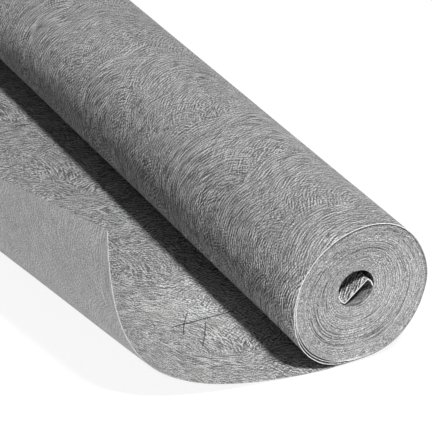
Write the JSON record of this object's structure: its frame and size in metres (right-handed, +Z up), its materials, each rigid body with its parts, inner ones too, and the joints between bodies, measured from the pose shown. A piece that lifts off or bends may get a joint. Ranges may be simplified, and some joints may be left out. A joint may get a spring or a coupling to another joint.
{
  "type": "geotextile roll",
  "caption": "Coreless roll of grey nonwoven geotextile whose free end is drawn out flat over the floor and curls up at its slanting end; the roll rolls and the free end bends.",
  "frame": {"origin": "on the floor under the middle of the roll's axis, on the underside of the sheet that the roll lies on", "axes": "+Y along the roll's axis, away from the end with the tall curl; +Z up; the free sheet runs towards -X"},
  "size_m": [0.3057, 1.0001, 0.1234],
  "materials": {
    "nonwoven": "matt with a faint sheen, thermally bonded swirled fibres",
    "wound_nonwoven": "matt, with the cut edges of the turns showing at both ends"
  },
  "bodies": {
    "free_sheet": {"floor_sheet": "nonwoven"},
    "outer_turn": {"outer_turn": "nonwoven"},
    "roll": {"wound_roll": "wound_nonwoven", "inner_tail": "nonwoven"},
    "flap_1": {"flap_strip_1": "nonwoven"},
    "flap_2": {"flap_strip_2": "nonwoven"},
    "flap_3": {"flap_strip_3": "nonwoven"},
    "flap_4": {"flap_strip_4": "nonwoven"},
    "flap_5": {"flap_strip_5": "nonwoven"},
    "flap_6": {"flap_strip_6": "nonwoven"}
  },
  "joints": [
    {"name": "roll_travel", "type": "slide", "parent": "free_sheet", "child": "outer_turn", "axis": [1, 0, 0], "range_m": [-0.03, 0.06]},
    {"name": "roll_turn", "type": "hinge", "parent": "outer_turn", "child": "roll", "pos_m": [0, 0, 0.0508], "axis": [0, 1, 0], "range_deg": [-35, 69.5]},
    {"name": "flap_bend_1", "type": "hinge", "parent": "free_sheet", "child": "flap_1", "pos_m": [-0.15876, 0.00002, 0.00316], "axis": [-0.1625, 0.9867, 0], "range_deg": [-15, 12], "stiffness_Nm_per_rad": 0.5},
    {"name": "flap_bend_2", "type": "hinge", "parent": "flap_1", "child": "flap_2", "pos_m": [-0.1886, -0.10046, 0.01473], "axis": [-0.1625, 0.9867, 0], "range_deg": [-15, 12], "stiffness_Nm_per_rad": 0.2},
    {"name": "flap_bend_3", "type": "hinge", "parent": "flap_2", "child": "flap_3", "pos_m": [-0.1972, -0.1703, 0.02594], "axis": [-0.1625, 0.9867, 0], "range_deg": [-15, 12], "stiffness_Nm_per_rad": 0.1},
    {"name": "flap_bend_4", "type": "hinge", "parent": "flap_3", "child": "flap_4", "pos_m": [-0.20113, -0.22637, 0.03906], "axis": [-0.1625, 0.9867, 0], "range_deg": [-15, 12], "stiffness_Nm_per_rad": 0.04},
    {"name": "flap_bend_5", "type": "hinge", "parent": "flap_4", "child": "flap_5", "pos_m": [-0.20125, -0.2905, 0.05763], "axis": [-0.1625, 0.9867, 0], "range_deg": [-15, 12], "stiffness_Nm_per_rad": 0.015},
    {"name": "flap_bend_6", "type": "hinge", "parent": "flap_5", "child": "flap_6", "pos_m": [-0.19269, -0.39235, 0.09105], "axis": [-0.1625, 0.9867, 0], "range_deg": [-15, 12], "stiffness_Nm_per_rad": 0.004}
  ],
  "couplings": [
    {"joint": "roll_turn", "follows": "roll_travel", "rad_per_m": 20},
    {"joint": "flap_bend_2", "follows": "flap_bend_1", "ratio": 1},
    {"joint": "flap_bend_3", "follows": "flap_bend_1", "ratio": 1},
    {"joint": "flap_bend_4", "follows": "flap_bend_1", "ratio": 1},
    {"joint": "flap_bend_5", "follows": "flap_bend_1", "ratio": 1},
    {"joint": "flap_bend_6", "follows": "flap_bend_1", "ratio": 1}
  ]
}
